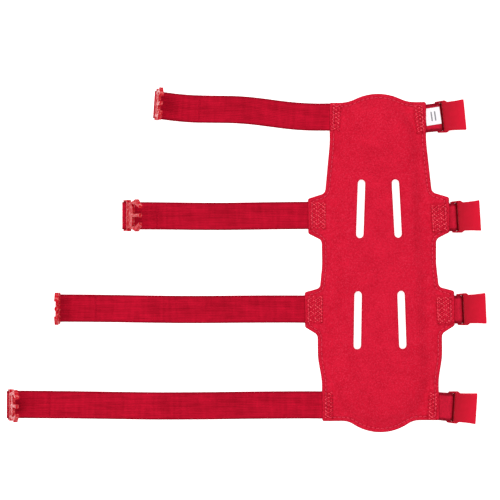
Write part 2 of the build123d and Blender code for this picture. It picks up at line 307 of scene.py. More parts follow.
def ribbon(name, line, across, half_thick, place, material, sway=None, sharp=60):
    """A closed strip of webbing swept along a line of (x, z) points in its own upright plane."""
    line = np.array(line, float)
    run = np.gradient(line, axis=0)
    run /= np.hypot(*run.T)[:, None]
    normal = np.stack([run[:, 1], -run[:, 0]], axis=1)
    along = np.concatenate([[0], np.cumsum(np.hypot(*np.diff(line, axis=0).T))])
    count = len(across)
    points, weave = [], []
    for (x, z), (nx, nz), u in zip(line, normal, along):
        shift = sway(x) if sway else 0.0
        for sign, order in ((1, range(count)), (-1, range(count - 1, -1, -1))):
            for k in order:
                lift = sign * half_thick[k]
                points.append((x + nx * lift, across[k] + shift, z + nz * lift))
                weave.append((u, across[k], sign))
    ring = 2 * count
    faces = []
    for row in range(len(line) - 1):
        low = row * ring
        for k in range(ring):
            n = (k + 1) % ring
            faces.append((low + k, low + n, low + ring + n, low + ring + k))
    for low in (0, (len(line) - 1) * ring):
        for k in range(count - 1):
            faces.append((low + k, low + k + 1, low + ring - 2 - k, low + ring - 1 - k))
    points = [place @ Vector(p) for p in points]
    thing = piece(name, points, faces, material, sharp)
    store_weave(thing, weave)
    return thing


# ---- materials ----------------------------------------------------------------------------------
def add(tree, kind, inputs=(), out=0, **settings):
    """Adds one node, with its settings and a value or a link for each input, and gives one of its outputs."""
    node = tree.nodes.new("ShaderNode" + kind)
    for key, value in settings.items():
        setattr(node, key, value)
    for key, value in inputs.items() if isinstance(inputs, dict) else enumerate(inputs):
        if isinstance(value, bpy.types.NodeSocket):
            tree.links.new(value, node.inputs[key])
        else:
            node.inputs[key].default_value = value
    return node.outputs[out]


def start_material(name, roughness, **sockets):
    """A new material and its node tree, with values on its shader's own sockets."""
    material = bpy.data.materials.new(name)
    material.use_nodes = True
    tree = material.node_tree
    shader = tree.nodes["Principled BSDF"]
    shader.inputs["Roughness"].default_value = roughness
    for key, value in sockets.items():
        shader.inputs[key.replace("_", " ")].default_value = value
    return material, tree


def end_material(material, factor, low, high, relief=None):
    """Mixes a material's colour from two, each a socket or an sRGB hex colour, and gives it its relief."""
    tree = material.node_tree
    shader = tree.nodes["Principled BSDF"]
    low, high = [linear(colour) if isinstance(colour, str) else colour for colour in (low, high)]
    colour = add(tree, "Mix", {0: factor, 6: low, 7: high}, 2, data_type="RGBA")
    tree.links.new(colour, shader.inputs["Base Color"])
    if relief:
        tree.links.new(relief, shader.inputs["Normal"])
    return material


def weave_place(tree):
    """Sockets for the place in the cloth, and the distance along and across it, in mm."""
    place = add(tree, "Attribute", out="Vector", attribute_name="weave")
    return place, *add(tree, "SeparateXYZ", [place]).node.outputs[:2]


def velour():
    """Brushed nylon velour: a short dense nap that looks matt, cloudy and a little paler at a slant."""
    material, tree = start_material("brushed_nylon_velour", 0.92, Sheen_Weight=0.06, Sheen_Roughness=0.45,
                                    Specular_IOR_Level=0.05, Sheen_Tint=(1.0, 0.3, 0.34, 1))
    place = add(tree, "TexCoord", out="Object")
    # the real nap is 0.1 mm across; it is drawn as tufts of 1.3 mm, which still show
    nap = add(tree, "TexNoise", {"Vector": place, "Scale": 1 / (1.3 * MM), "Detail": 3.0, "Roughness": 0.7})
    # clouds of brushed nap, about 9 mm across
    cloud = add(tree, "TexNoise", {"Vector": place, "Scale": 1 / (9 * MM), "Detail": 3.0})
    tufts = add(tree, "Math", [nap, 0.68], operation="MULTIPLY")
    mixed = add(tree, "Math", [cloud, 0.32, tufts], operation="MULTIPLY_ADD")
    spread = add(tree, "MapRange", {0: mixed, 1: 0.34, 2: 0.66})
    cloth = add(tree, "Mix", {0: spread, 6: linear("#b10c25"), 7: linear("#cf1834")}, 2, data_type="RGBA")
    # single fibres catch the light, drawn as 0.8 mm flecks
    fleck = add(tree, "TexNoise", {"Vector": place, "Scale": 1 / (0.8 * MM), "Detail": 1.0})
    fleck = add(tree, "MapRange", {0: fleck, 1: 0.5, 2: 0.8, 4: 0.5})
    cloth = add(tree, "Mix", {0: fleck, 6: cloth, 7: linear("#dd3a55")}, 2, data_type="RGBA")
    # painted shade: the nap is drawn darker in the rim seam's groove, round the zigzags, in the needle holes and
    # along the rim's edge, where shade falls
    painted_shade = add(tree, "Attribute", out="Fac", attribute_name="painted_shade")
    relief = add(tree, "Bump", {"Height": nap, "Strength": 0.5, "Distance": 0.16 * MM})
    return end_material(material, painted_shade, cloth, "#860010", relief)


def outer_nylon():
    """Woven Oxford nylon: a square basket weave with a dull shine."""
    material, tree = start_material("woven_oxford_nylon", 0.6, Specular_IOR_Level=0.35)
    place = add(tree, "TexCoord", out="Object")
    parts = add(tree, "SeparateXYZ", [place]).node.outputs
    # threads of 0.35 mm in pairs, drawn at 1 mm so that they show
    turns = 2 * math.pi / (1.0 * MM)
    warp, weft = [add(tree, "Math", [add(tree, "Math", [part, turns], operation="MULTIPLY")], operation="SINE")
                  for part in parts[:2]]
    height = add(tree, "Math", [add(tree, "Math", [warp, weft], operation="MULTIPLY"), 0.5, 0.5],
                 operation="MULTIPLY_ADD")
    slub = add(tree, "TexNoise", {"Vector": place, "Scale": 1 / (9 * MM), "Detail": 4.0})
    woven = add(tree, "Math", [height, 0.6], operation="MULTIPLY")
    shade = add(tree, "Math", [slub, 0.5, woven], operation="MULTIPLY_ADD", use_clamp=True)
    relief = add(tree, "Bump", {"Height": height, "Strength": 0.7, "Distance": 0.15 * MM})
    return end_material(material, shade, "#8d1024", "#b81a30", relief)


def ribbed_elastic():
    """Braided elastic: rubber cords under polyester, so fine ribs run its length, with corded edges."""
    material, tree = start_material("ribbed_braided_elastic", 0.8, Specular_IOR_Level=0.05)
    place, along, across = weave_place(tree)
    rib = 1.25  # spacing of the rubber cords, mm
    pick = 0.9  # the braid's picks are 0.4 mm apart, drawn at 0.9 mm so that they show
    ribs = add(tree, "Math", [across, 2 * math.pi / rib], operation="MULTIPLY")
    ribs = add(tree, "Math", [ribs], operation="COSINE")
    step = add(tree, "Math", [add(tree, "Math", [across, rib], operation="DIVIDE")], operation="FLOOR")
    step = add(tree, "Math", [step, math.pi], operation="MULTIPLY")
    picks = add(tree, "Math", [along, 2 * math.pi / pick, step], operation="MULTIPLY_ADD")
    picks = add(tree, "Math", [add(tree, "Math", [picks], operation="SINE"), 0.22], operation="MULTIPLY")
    height = add(tree, "Math", [ribs, 0.35, picks], operation="MULTIPLY_ADD")
    # handling leaves long faint streaks, about 2 mm wide
    drawn = add(tree, "VectorMath", [place, (0.14, 1.0, 1.0)], operation="MULTIPLY")
    wear_and_painted_shade = add(tree, "TexNoise", {"Vector": drawn, "Scale": 0.45, "Detail": 4.0})
    # uneven tension leaves paler and darker bars across the elastic, 1 to 3 mm long
    squeezed = add(tree, "VectorMath", [place, (1.0, 0.16, 1.0)], operation="MULTIPLY")
    bars = add(tree, "TexNoise", {"Vector": squeezed, "Scale": 0.42, "Detail": 4.0})
    # painted shade: the elastic is drawn darker along both edges, where the light falls off its rounded cords
    edge = add(tree, "MapRange", {0: add(tree, "Math", [across], operation="ABSOLUTE"), 1: 8.7, 2: 9.4})
    # painted shade: the colour follows the height of the ribs and picks, darker in the valleys between them
    shade = add(tree, "Math", [height, 0.48, add(tree, "Math", [wear_and_painted_shade, 1.15], operation="MULTIPLY")],
                operation="MULTIPLY_ADD")
    shade = add(tree, "Math", [shade, add(tree, "Math", [bars, 0.7, -0.4], operation="MULTIPLY_ADD")])
    shade = add(tree, "Math", [shade, edge], operation="SUBTRACT", use_clamp=True)
    relief = add(tree, "Bump", {"Height": height, "Strength": 0.8, "Distance": 0.2 * MM})
    return end_material(material, shade, "#8a0318", "#c60f2e", relief)


def loop_webbing():
    """Flat polyester webbing: a close herringbone, paler between its two dense selvedges."""
    material, tree = start_material("flat_woven_polyester_webbing", 0.75, Specular_IOR_Level=0.06)
    place, along, across = weave_place(tree)
    twill = 1.1  # a herringbone of 0.5 mm threads, drawn at 1.1 mm so that it shows
    slant = add(tree, "Math", [along, add(tree, "Math", [across, 2.6], operation="PINGPONG")])
    lines = add(tree, "Math", [slant, 2 * math.pi / twill], operation="MULTIPLY")
    lines = add(tree, "Math", [lines], operation="SINE")
    edge = add(tree, "MapRange", {0: add(tree, "Math", [across], operation="ABSOLUTE"), 1: 7.6, 2: 8.6})
    fuzz = add(tree, "TexNoise", {"Vector": place, "Scale": 0.7, "Detail": 4.0})
    shade = add(tree, "Math", [lines, 0.16, add(tree, "Math", [fuzz, 0.35])], operation="MULTIPLY_ADD")
    shade = add(tree, "Math", [edge, -0.65, shade], operation="MULTIPLY_ADD", use_clamp=True)
    relief = add(tree, "Bump", {"Height": lines, "Strength": 0.6, "Distance": 0.12 * MM})
    return end_material(material, shade, "#6a0212", "#c81834", relief)


def polyester_thread():
    """Bonded polyester thread: two plies twisted together, a little brighter than the cloth."""
    material, tree = start_material("bonded_polyester_thread", 0.8, Specular_IOR_Level=0.02)
    place = add(tree, "TexCoord", out="Object")
    twist = add(tree, "TexWave", {"Vector": place, "Scale": 0.3 / (1.2 * MM), "Distortion": 1.5}, "Fac",
                bands_direction="DIAGONAL")
    relief = add(tree, "Bump", {"Height": twist, "Strength": 0.5, "Distance": 0.05 * MM})
    return end_material(material, twist, "#d81c38", "#ff5a6c", relief)


def spun_thread(name, low, high):
    """Spun polyester thread, matt and softly frayed, which sinks into its cloth and hardly shows."""
    material, tree = start_material(name, 0.85, Specular_IOR_Level=0.02)
    place = add(tree, "TexCoord", out="Object")
    fray = add(tree, "TexNoise", {"Vector": place, "Scale": 1 / (0.8 * MM), "Detail": 2.0})
    relief = add(tree, "Bump", {"Height": fray, "Strength": 0.4, "Distance": 0.05 * MM})
    return end_material(material, fray, low, high, relief)


def acetal(name, low, high, roughness, ior, reach, waves, glint_strength):
    """Injection-moulded acetal: dense and even in colour, with the mould's fine spark-eroded grain."""
    material, tree = start_material(name, roughness, IOR=ior, Subsurface_Weight=0.04,
                                    Subsurface_Radius=(1.0 * MM, 0.15 * MM, 0.12 * MM))
    place = add(tree, "TexCoord", out="Object")
    flow = add(tree, "TexNoise", {"Vector": place, "Scale": 1 / (5 * MM), "Detail": 3.0})
    # a spark-eroded grain of 0.05 mm, drawn at 0.3 mm
    grain = add(tree, "TexNoise", {"Vector": place, "Scale": 1 / (0.3 * MM), "Detail": 1.0})
    # the colour grows paler from 3 mm past the bar towards its far end
    pale = add(tree, "MapRange", {0: add(tree, "SeparateXYZ", [place]), 1: 3 * MM, 2: reach * MM})
    shade = add(tree, "Math", [flow, 0.4, add(tree, "Math", [pale, 0.75], operation="MULTIPLY")],
                operation="MULTIPLY_ADD", use_clamp=True)
    colour = add(tree, "Mix", {0: shade, 6: linear(low), 7: linear(high)}, 2, data_type="RGBA")
    # painted highlights: pale pink glints in soft clouds of 1 to 2 mm, standing in for the gloss's highlights
    painted_glint = add(tree, "TexNoise", {"Vector": place, "Scale": 1 / (1.7 * MM), "Detail": 3.0})
    painted_glint = add(tree, "MapRange", {0: painted_glint, 1: 0.52, 2: 0.72, 4: glint_strength})
    dull = add(tree, "MapRange", {0: grain, 3: roughness - 0.05, 4: roughness + 0.07})
    tree.links.new(dull, tree.nodes["Principled BSDF"].inputs["Roughness"])
    # thin walls shrink as they cool, so their faces are wavy over about 3 mm
    sink = add(tree, "TexNoise", {"Vector": place, "Scale": 1 / (3 * MM), "Detail": 0.0})
    fine = add(tree, "Bump", {"Height": grain, "Strength": 0.12, "Distance": 0.02 * MM})
    relief = add(tree, "Bump", {"Height": sink, "Normal": fine, "Strength": waves, "Distance": 1.0 * MM})
    # the painted glints mix the colour towards pale pink
    return end_material(material, painted_glint, colour, "#ff9c98", relief)


def satin_ribbon():
    """White polyester satin: long floats that shine along the ribbon, with a few plain printed bars."""
    material, tree = start_material("woven_white_satin", 0.42, Specular_IOR_Level=0.5, Sheen_Weight=0.1)
    place, along, across = weave_place(tree)
    floats = add(tree, "TexNoise", {"Vector": place, "Scale": 3.0, "Detail": 3.0})
    rows = add(tree, "Math", [add(tree, "Math", [along, 0.6]), 1.3], operation="PINGPONG")
    middle = add(tree, "Math", [across], operation="ABSOLUTE")
    ink = 0.85
    for value, limit, side in ((rows, 0.5, "LESS_THAN"), (middle, 3.4, "LESS_THAN"), (along, 3.5, "GREATER_THAN"),
                               (along, 8.6, "LESS_THAN")):
        ink = add(tree, "Math", [add(tree, "Math", [value, limit], operation=side), ink], operation="MULTIPLY")
    cloth = add(tree, "Mix", {0: floats, 6: linear("#dcd8dc"), 7: linear("#f1eef1")}, 2, data_type="RGBA")
    relief = add(tree, "Bump", {"Height": floats, "Strength": 0.2, "Distance": 0.03 * MM})
    return end_material(material, ink, cloth, "#55525c", relief)


def backdrop_paper():
    """White background paper on a light table: bright, quite matt, and lit from below so no shadow lies on it."""
    material, tree = start_material("white_background_paper", 0.95, Specular_IOR_Level=0.1,
                                    Emission_Strength=0.72, Emission_Color=(1, 1, 1, 1))
    place = add(tree, "TexCoord", out="Object")
    tooth = add(tree, "TexNoise", {"Vector": place, "Scale": 40.0, "Detail": 3.0})
    return end_material(material, tooth, "#f3f3f4", "#fbfbfb")


MAKERS = {
    "velour": velour,
    "outer_cloth": outer_nylon,
    "elastic": ribbed_elastic,
    "webbing": loop_webbing,
    "thread": polyester_thread,
    "strap_thread": lambda: spun_thread("dark_polyester_thread", "#a60d27", "#c4122e"),
    "rim_thread": lambda: spun_thread("spun_polyester_thread", "#c41634", "#f2526a"),
    "satin": satin_ribbon,
    "buckle_plastic": lambda: acetal("satin_moulded_acetal", "#99011a", "#d0082b", 0.5, 1.22, 19, 0.08, 0.0),
    "clip_plastic": lambda: acetal("glossy_moulded_acetal", "#b0001a", "#c8061e", 0.22, 1.3, 60, 0.7, 0.36),
}
made = {}


def finish_of(slot):
    """One of the finishes, made once."""
    if slot not in made:
        made[slot] = MAKERS[slot]()
    return made[slot]


# ---- sizes that a user would change ---------------------------------------------------------------
class PadSettings(bpy.types.PropertyGroup):
    grid: FloatProperty(name="Mesh step", description="Spacing of the pad's mesh points", default=1.25 * MM,
                        unit="LENGTH")
    crown: FloatProperty(name="Crown", description="How far the foam's middle stands above its edge",
                         default=0.35 * MM, unit="LENGTH")
    groove: FloatProperty(name="Seam depth", description="How deep the rim's stitching pulls the cloth in",
                          default=0.42 * MM, unit="LENGTH")
    thread: FloatProperty(name="Thread", description="Thickness of the sewing thread", default=0.5 * MM,
                          unit="LENGTH")


class StrapSettings(bpy.types.PropertyGroup):
    width: FloatProperty(name="Width", description="Width of the elastic", default=20.0 * MM, unit="LENGTH")
    rib: FloatProperty(name="Rib", description="Spacing of the elastic's ribs", default=1.25 * MM, unit="LENGTH")
    loop_width: FloatProperty(name="Loop width", description="Width of the receivers' webbing",
                              default=20.4 * MM, unit="LENGTH")


class BuckleSettings(bpy.types.PropertyGroup):
    voxel: FloatProperty(name="Moulding step", description="Fineness of the buckles' skins",
                         default=0.2 * MM, unit="LENGTH")
    rounding: IntProperty(name="Rounding", description="How often the skins' edges are smoothed", default=5)


class StageSettings(bpy.types.PropertyGroup):
    lens: FloatProperty(name="Lens", description="Focal length, in mm", default=135.0)
    distance: FloatProperty(name="Distance", description="Height of the camera", default=1.369, unit="LENGTH")
    aim: FloatVectorProperty(name="Aim", description="Point under the camera", size=2,
                             default=(-94.1 * MM, 10.4 * MM), subtype="XYZ", unit="LENGTH")
    roll: FloatProperty(name="Roll", description="Turn of the camera about its view",
                        default=math.radians(-0.557), subtype="ANGLE")
    key: FloatProperty(name="Light", description="Power of each softbox", default=5.6, unit="POWER")


# ---- the pad --------------------------------------------------------------------------------------
def pad_shape(points, crown, groove):
    """Heights in mm at each point: the lining's top and underside, the outer panel's underside; and the painted shade
    that darkens the nap there."""
    rim_gap, along = nearest(points, RIM)
    slot_gap = np.min([nearest(points, slot)[0] for slot in SLOTS], axis=0)
    core_gap = nearest(points, CORE)[0] * np.where(inside(points, CORE), 1, -1)
    rise = smooth((core_gap + 3.0) / 10)
    dome = crown * smooth(core_gap / 22)
    padding = (CORE_TOP - FLANGE_TOP) * rise + dome
    bump = np.zeros(len(points))
    for anchor, kind, depth, side in anchor_places(points):
        sewn = sewn_length(anchor, kind)
        mask = smooth((sewn + 1.3 - depth) / 1.7) * smooth((11.2 - abs(side)) / 1.6) * (depth > -3)
        thick = (STRAP_TOP if kind == "strap" else LOOP_TOP) - OUTER_TOP
        bump = np.maximum(bump, mask * thick)
    high = np.maximum(padding, bump)
    top = FLANGE_TOP + high + 0.35 * np.exp(-abs(padding - bump) / 0.5) * (np.minimum(padding, bump) > 0.3)
    # the seam pulls the cloth down, most where each stitch goes through it
    tuck = 0.72 + 0.28 * np.cos(2 * np.pi * along / PITCH)
    sunk = np.exp(-((rim_gap - SEAM) / 0.62) ** 2) * tuck
    tack, hole = tack_gap(points)
    near = np.exp(-(tack / 0.55) ** 2)
    pit = np.exp(-(hole / 0.6) ** 2)
    top -= groove * np.maximum(sunk, 0.75 * near + 0.7 * pit)
    # between the zigzags the cloth stands up in small uneven puckers
    top += 0.5 * smooth((3.2 - tack) / 1.5) * np.array([noise(Vector((x / 1.9, y / 1.4, 7.0))) for x, y in points])
    top += 0.16 * np.exp(-((rim_gap - 1.3) / 0.8) ** 2)
    # a slight quilting wave inside the seam, where the cloth is gathered
    top += 0.10 * np.exp(-((rim_gap - 5.0) / 1.6) ** 2) * np.cos(2 * np.pi * along / 9.5) * (1 - rise)
    wander = np.array([noise(Vector((x / 17, y / 23, 0.0))) + 0.5 * noise(Vector((x / 6, y / 7, 3.0)))
                       for x, y in points])
    top += 0.16 * wander * smooth(rim_gap / 5) * smooth(slot_gap / 3)
    top -= edge_round(rim_gap, 0.6) + edge_round(slot_gap, 0.9)
    under = OUTER_TOP + bump
    base = edge_round(rim_gap, 0.5) + edge_round(slot_gap, 0.45)
    base += 0.32 * np.exp(-((rim_gap - SEAM) / 0.5) ** 2)
    # painted shade: darkest in the needle holes and the seam's groove, lighter round the zigzags, and along the rim's
    # edge
    painted_shade = np.clip(0.6 * sunk + 0.25 * near + 0.9 * pit + 0.5 * np.exp(-rim_gap / 0.35), 0, 0.9)
    return top, under, base, painted_shade


def tack_gap(points):
    """Each point's distance from the nearest stitch of the zigzags, and from the nearest needle hole."""
    gap, hole = np.full(len(points), 99.0), np.full(len(points), 99.0)
    for anchor, kind in ENDS:
        for a, b in tack_stitches(anchor, kind):
            a, run = np.array(a.xy), np.array((b - a).xy)
            offset = points - a
            t = np.clip(offset @ run / (run @ run), 0, 1)
            gap = np.minimum(gap, np.hypot(*(offset - t[:, None] * run).T))
            hole = np.minimum(hole, np.hypot(*offset.T))
    return gap, hole


def edge_round(gap, radius):
    """How far a rounded edge of this radius falls away, at each distance from it."""
    near = np.clip(radius - gap, 0, radius)
    return radius - np.sqrt(np.maximum(radius ** 2 - near ** 2, 0))


def inset(loop, depth, step):
    """A loop moved inwards, without the points that a corner would fold over."""
    ring = respace(loop, step)
    run = np.roll(ring, -1, 0) - np.roll(ring, 1, 0)
    run /= np.hypot(*run.T)[:, None]
    moved = ring + depth * np.stack([-run[:, 1], run[:, 0]], axis=1)
    return moved[nearest(moved, loop)[0] > abs(depth) - 0.04]


def pad_net(grid):
    """Points and triangles over the pad, with rings that follow its rim and its slots."""
    rings = [RIM] + SLOTS
    bounds = []
    count = 0
    for ring in rings:
        bounds += [(count + i, count + (i + 1) % len(ring)) for i in range(len(ring))]
        count += len(ring)
    for depth in RIM_RINGS:
        rings.append(inset(RIM, depth, 1.0))
    for slot in SLOTS:
        for depth in SLOT_RINGS:
            rings.append(inset(slot, -depth, 1.0))
    low, high = RIM.min(0), RIM.max(0)
    rows = np.arange(low[1], high[1], grid * 0.866)
    field = np.array([(x + (i % 2) * grid / 2, y) for i, y in enumerate(rows)
                      for x in np.arange(low[0], high[0], grid)])
    field = field[inside(field, RIM)]
    field = field[nearest(field, RIM)[0] > RIM_RINGS[-1] + grid * 0.6]
    for slot in SLOTS:
        field = field[~inside(field, slot)]
        field = field[nearest(field, slot)[0] > SLOT_RINGS[-1] + grid * 0.6]
    fine = field[tack_gap(field)[0] < 2.2]
    step = grid / 2
    turns = (0, math.pi / 3, 2 * math.pi / 3)
    more = np.vstack([fine + np.array([step * math.cos(turn), step * math.sin(turn)]) for turn in turns])
    more = more[nearest(more, RIM)[0] > RIM_RINGS[-1] + step]
    points = [Vector(p) for p in np.vstack(rings + [field, more])]
    points, _, faces, *_ = delaunay_2d_cdt(points, bounds, [], 1, 1e-5)
    points = np.array([tuple(p) for p in points])
    middles = np.array([points[face].mean(0) for face in map(list, faces)])
    keep = inside(middles, RIM)
    for slot in SLOTS:
        keep &= ~inside(middles, slot)
    return points, [tuple(face) for face, good in zip(faces, keep) if good]


def layer(name, points, faces, top, under, material):
    """A closed sheet between two heights over the same net of points."""
    count = len(points)
    solid = [(*p, z) for p, z in zip(points, top)] + [(*p, z) for p, z in zip(points, under)]
    edges = {}
    for face in faces:
        for i in range(len(face)):
            pair = (face[i], face[(i + 1) % len(face)])
            edges[pair] = pair[::-1] not in edges
            if pair[::-1] in edges:
                edges[pair[::-1]] = False
    walls = [(b, a, a + count, b + count) for (a, b), alone in edges.items() if alone]
    floor = [tuple(v + count for v in reversed(face)) for face in faces]
    return piece(name, solid, list(faces) + floor + walls, material, sharp=70)


def build_pad(settings):
    points, faces = pad_net(settings.grid / MM)
    top, under, base, painted_shade = pad_shape(points, settings.crown / MM, settings.groove / MM)
    lining = layer("pad_lining", points, faces, top, np.minimum(under, top - 0.15), finish_of("velour"))
    # the painted shade is kept on each point, for the velour's colour
    wear_and_painted_shade = lining.data.attributes.new("painted_shade", "FLOAT", "POINT")
    wear_and_painted_shade.data.foreach_set("value", np.concatenate([painted_shade, painted_shade]).astype(np.float32))
    declare(lining, "velour", "guard", "lining", "foam_core")
    panel = layer("pad_outer_face", points, faces, np.full(len(points), OUTER_TOP), base,
                  finish_of("outer_cloth"))
    declare(panel, "outer_cloth", "guard", "outer_face")


def over_pad(settings, points):
    """The points in the plane, raised onto the lining."""
    top, *_ = pad_shape(np.array(points), settings.crown / MM, settings.groove / MM)
    return [(x, y, z) for (x, y), z in zip(points, top)]


def build_rim_stitching(settings):
    thread = settings.thread / MM
    seam = [tuple(p) for p in respace(inset(RIM, SEAM, 0.5), PITCH)]
    high = over_pad(settings, seam)
    runs = []
    for i in range(len(seam)):
        a, b = Vector(high[i - 1]), Vector(high[i])
        gap = (b - a) * 0.1
        runs.append((a + gap, b - gap, (0, 0, 1)))
        low_a, low_b = Vector((*seam[i - 1], OUTER_STITCH)), Vector((*seam[i], OUTER_STITCH))
        gap = (low_b - low_a) * 0.1
        runs.append((low_a + gap, low_b - gap, (0, 0, -1)))
    row = stitches("rim_lock_stitching", runs, thread, finish_of("rim_thread"))
    declare(row, "thread", "guard", "edge_stitching")


def tack_runs(anchor, kind):
    """The zigzags that hold a sewn-in end: pairs of places in the plane of the pad."""
    place = anchor_frame(anchor, kind)
    reach = rim_reach(anchor, kind)
    sign = 1 if kind == "strap" else -1
    # each column: how deep inside the rim, half its width, and its number of strokes
    columns = [(4.3, 2.5, 6), (9.3, 2.3, 6), (12.2, 0.3, 9)] if anchor in ("forearm", "elbow") else [(4.6, 2.9, 7)]
    tall = 19.0
    runs = []
    for depth, half, steps in columns:
        for flip in (1, -1):
            zig = [place @ Vector((sign * (reach + depth + flip * half * (-1) ** i), tall * (i / steps - 0.5), 0))
                   for i in range(steps + 1)]
            runs += [(zig[i], zig[i + 1]) for i in range(steps)]
    return runs


def tack_stitches(anchor, kind):
    """The zigzags again as single stitches, each about 2.2 mm long."""
    parts = []
    for a, b in tack_runs(anchor, kind):
        pieces = max(1, round((b - a).length / 2.2))
        ends = [a.lerp(b, i / pieces) for i in range(pieces + 1)]
        parts += list(zip(ends, ends[1:]))
    return parts


def build_tacks(settings):
    thread = settings.thread / MM
    for anchor, kind in ENDS:
        flat = [tuple(v.xy) for pair in tack_stitches(anchor, kind) for v in pair]
        high = over_pad(settings, flat)
        runs = [(high[i], high[i + 1], (0, 0, 1)) for i in range(0, len(high), 2)]
        tack = stitches(f"{anchor}_{kind}_zigzag", runs, thread, finish_of("thread"))
        declare(tack, "thread", "guard", f"{anchor}_{kind}_tack")


# ---- straps and loops -----------------------------------------------------------------------------
# how each elastic wanders in plan between its ends, in mm: one bow along it, and one three-part ripple
WANDER = {"wrist": (-0.25, -0.9), "forearm": (-0.5, 0.1), "elbow": (-0.5, 0.15), "upper_arm": (-0.8, 0.2)}
EYE = BAR_RADIUS + ELASTIC / 2  # radius of the elastic's middle round a clip's bar
TAIL = 0.56  # height of the folded tail's middle


def fold_length(anchor):
    """Length of the tail folded back from the clip's bar, in mm."""
    low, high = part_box(f"{anchor}_strap_bartack")
    middle = anchor_frame(anchor, "strap").inverted() @ ((low + high) / 2 / MM)
    return middle.x + 3.0


def run_height(anchor, x):
    """Height of the elastic's middle above the floor at a distance from its clip's bar."""
    reach, fold = rim_reach(anchor, "strap"), fold_length(anchor)
    over_tail = smooth((fold + 10 - x) / 9.5)
    at_rim = smooth((x - reach + 11) / 11)
    ripple = 0.34 * (1 - math.cos(2 * math.pi * (x - fold) / 47))
    low = 0.6 + ripple * 0.5
    high = OUTER_TOP + ELASTIC / 2 + 0.03
    return low + (high - low) * max(over_tail, at_rim)


def elastic_line(anchor):
    """The elastic from its sewn-in end to its clip's bar, round it and back underneath."""
    reach, fold = rim_reach(anchor, "strap"), fold_length(anchor)
    sewn = sewn_length(anchor, "strap")
    bar = BAR_RADIUS + ELASTIC
    ramp = 5.5
    rows = max(2, round((reach + sewn - ramp) / 1.5))
    line = []
    for x in np.linspace(reach + sewn - 0.5, ramp, rows):
        line.append((x, OUTER_TOP + ELASTIC / 2 if x > reach else run_height(anchor, x)))
    for t in np.linspace(0, 1, 12)[1:]:
        low = run_height(anchor, ramp)
        line.append((ramp * (1 - t), low + (bar + EYE - low) * float(smooth(t))))
    for turn in np.linspace(90, 270, 15)[1:]:
        line.append((EYE * math.cos(math.radians(turn)), bar + EYE * math.sin(math.radians(turn))))
    for x in np.arange(1.4, fold, 1.4):
        line.append((x, TAIL))
    return line


def elastic_section(width, rib):
    """Places across the elastic, and half its thickness at each: ribs, and a cord along each edge."""
    across = np.linspace(-width / 2, width / 2, 4 * round(width / rib) + 1)
    side = abs(across) / (width / 2)
    half = 0.47 + 0.05 * np.cos(2 * np.pi * across / rib)
    cord = np.clip((side - 0.90) / 0.10, 0, 1)
    half = np.where(cord > 0, 0.56 * np.sqrt(np.maximum(1 - (2 * cord - 1).clip(0, 1) ** 2, 0.03)), half)
    return across, half


def build_straps(settings):
    across, half = elastic_section(settings.width / MM, settings.rib / MM)
    for anchor in ANCHORS:
        reach = rim_reach(anchor, "strap")
        bow, ripple = WANDER[anchor]

        def sway(x):
            t = min(max(1 - x / reach, 0), 1)
            return bow * math.sin(math.pi * t) + ripple * math.sin(3 * math.pi * t)

        line = elastic_line(anchor)
        place = anchor_frame(anchor, "strap")
        strap = ribbon(f"{anchor}_elastic", line, across, half, place, finish_of("elastic"), sway)
        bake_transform(strap)
        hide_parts(f"{anchor}_strap", f"{anchor}_strap_root")
        build_bartack(anchor, place, sway)


def build_bartack(anchor, place, sway):
    """The close row of stitches across the elastic that holds its folded tail."""
    x = fold_length(anchor) - 3.0
    z = run_height(anchor, x) + ELASTIC / 2 - 0.06
    runs = []
    for i in range(25):
        y = sway(x) + (i - 12) * 0.68
        lean = 0.3 * (-1) ** i
        runs.append((place @ Vector((x - 1.0, y - lean, z)), place @ Vector((x + 1.0, y + lean, z)), (0, 0, 1)))
    bar = stitches(f"{anchor}_fold_bartack", runs, 0.3, finish_of("strap_thread"))
    declare(bar, "thread", f"{anchor}_strap", f"{anchor}_strap_bartack")


def loop_line(anchor):
    """The loop's webbing: out of the pad, round the receiver's bar and back in on top of itself."""
    reach, sewn = rim_reach(anchor, "loop"), sewn_length(anchor, "loop")
    eye = BAR_RADIUS + WEB / 2
    centre = Vector(JOINTS[f"{anchor}_receiver_swivel"]["pos_m"]).z / MM
    low, high = OUTER_TOP + WEB / 2, OUTER_TOP + 1.5 * WEB
    line = [(x, low) for x in np.linspace(-reach - sewn + 0.5, -0.5, round(reach + sewn))]
    for turn in np.linspace(-90, 90, 17):
        line.append((eye * math.cos(math.radians(turn)), centre + eye * math.sin(math.radians(turn))))
    for t in np.linspace(0, 1, 14)[1:]:
        line.append((-(reach + 0.6) * t, centre + eye + (high - centre - eye) * float(smooth(t))))
    line += [(x, high) for x in np.linspace(-reach - 1.4, -reach - sewn + 0.5, round(sewn))]
    return line


def build_loops(settings):
    width = settings.loop_width / MM
    across = np.linspace(-width / 2, width / 2, 45)
    side = abs(across) / (width / 2)
    half = np.where(side < 0.78, 0.45, 0.49) * np.sqrt(np.maximum(1 - np.clip((side - 0.95) / 0.05, 0, 1) ** 2, 0.04))
    for anchor in ANCHORS:
        reach = rim_reach(anchor, "loop")
        place = anchor_frame(anchor, "loop")
        line = loop_line(anchor)
        loop = ribbon(f"{anchor}_web_loop", line, across, half, place, finish_of("webbing"))
        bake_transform(loop)
        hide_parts(f"{anchor}_loop", f"{anchor}_loop_root")


